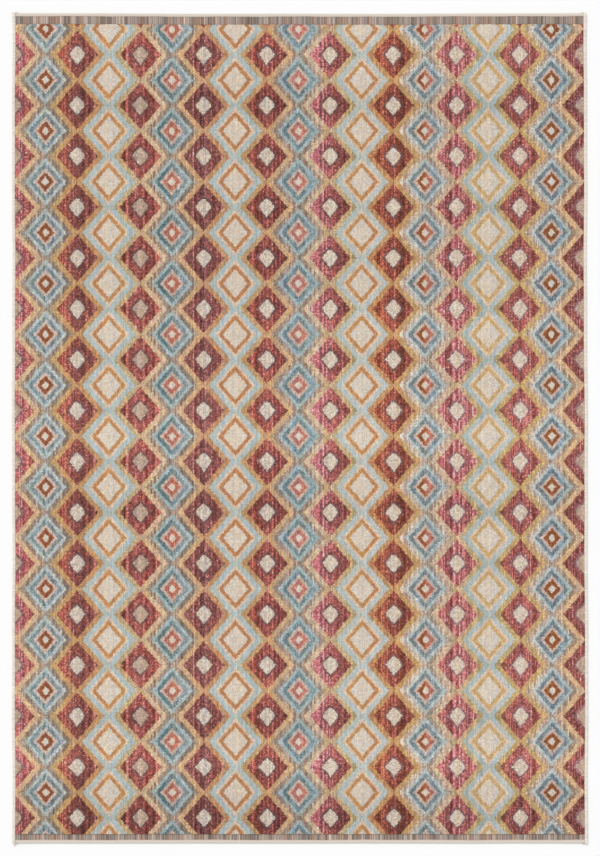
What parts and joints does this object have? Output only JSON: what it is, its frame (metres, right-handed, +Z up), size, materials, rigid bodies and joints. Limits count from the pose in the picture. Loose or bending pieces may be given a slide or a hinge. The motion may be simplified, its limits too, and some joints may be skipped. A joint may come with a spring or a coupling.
{
  "type": "area rug",
  "caption": "Rectangular woven area rug with columns of wine diamonds, blue medallions and ivory lozenges between gold and light-blue zigzag bands, serged sides and bound ends.",
  "frame": {"origin": "middle of the underside, on the floor", "axes": "+Z up out of the pile, +Y along the rug's length towards its head end (the end with the wider flat woven strip), +X across its width"},
  "size_m": [1.6, 2.323, 0.0066],
  "materials": {
    "latex": "matte",
    "ground_yarn": "matte",
    "ivory_yarn": "matte",
    "wine_yarn": "matte",
    "gold_yarn": "matte",
    "taupe_yarn": "matte",
    "sky_yarn": "matte",
    "slate_yarn": "matte",
    "rust_yarn": "matte",
    "amber_yarn": "matte",
    "flat_end_yarn": "matte",
    "cord_cotton": "matte",
    "serging_yarn": "matte",
    "binding_tape": "matte",
    "sewing_thread": "matte",
    "label_satin": "satin"
  },
  "bodies": {
    "root": {"latex_backing": "latex", "ground_weave": "ground_yarn", "pile_ivory": "ivory_yarn", "pile_wine": "wine_yarn", "pile_gold": "gold_yarn", "pile_taupe": "taupe_yarn", "pile_sky_rings": "sky_yarn", "pile_sky_zigzags": "sky_yarn", "pile_slate": "slate_yarn", "pile_rust": "rust_yarn", "pile_amber": "amber_yarn", "head_flat_end": "flat_end_yarn", "foot_flat_end": "flat_end_yarn", "left_edge_cord": "cord_cotton", "right_edge_cord": "cord_cotton", "left_serging": "serging_yarn", "right_serging": "serging_yarn", "head_binding": "binding_tape", "foot_binding": "binding_tape", "head_seam": "sewing_thread", "foot_seam": "sewing_thread", "corner_tacks": "sewing_thread", "serging_tail": "serging_yarn", "care_label": "label_satin", "label_stitches": "sewing_thread"}
  },
  "joints": []
}
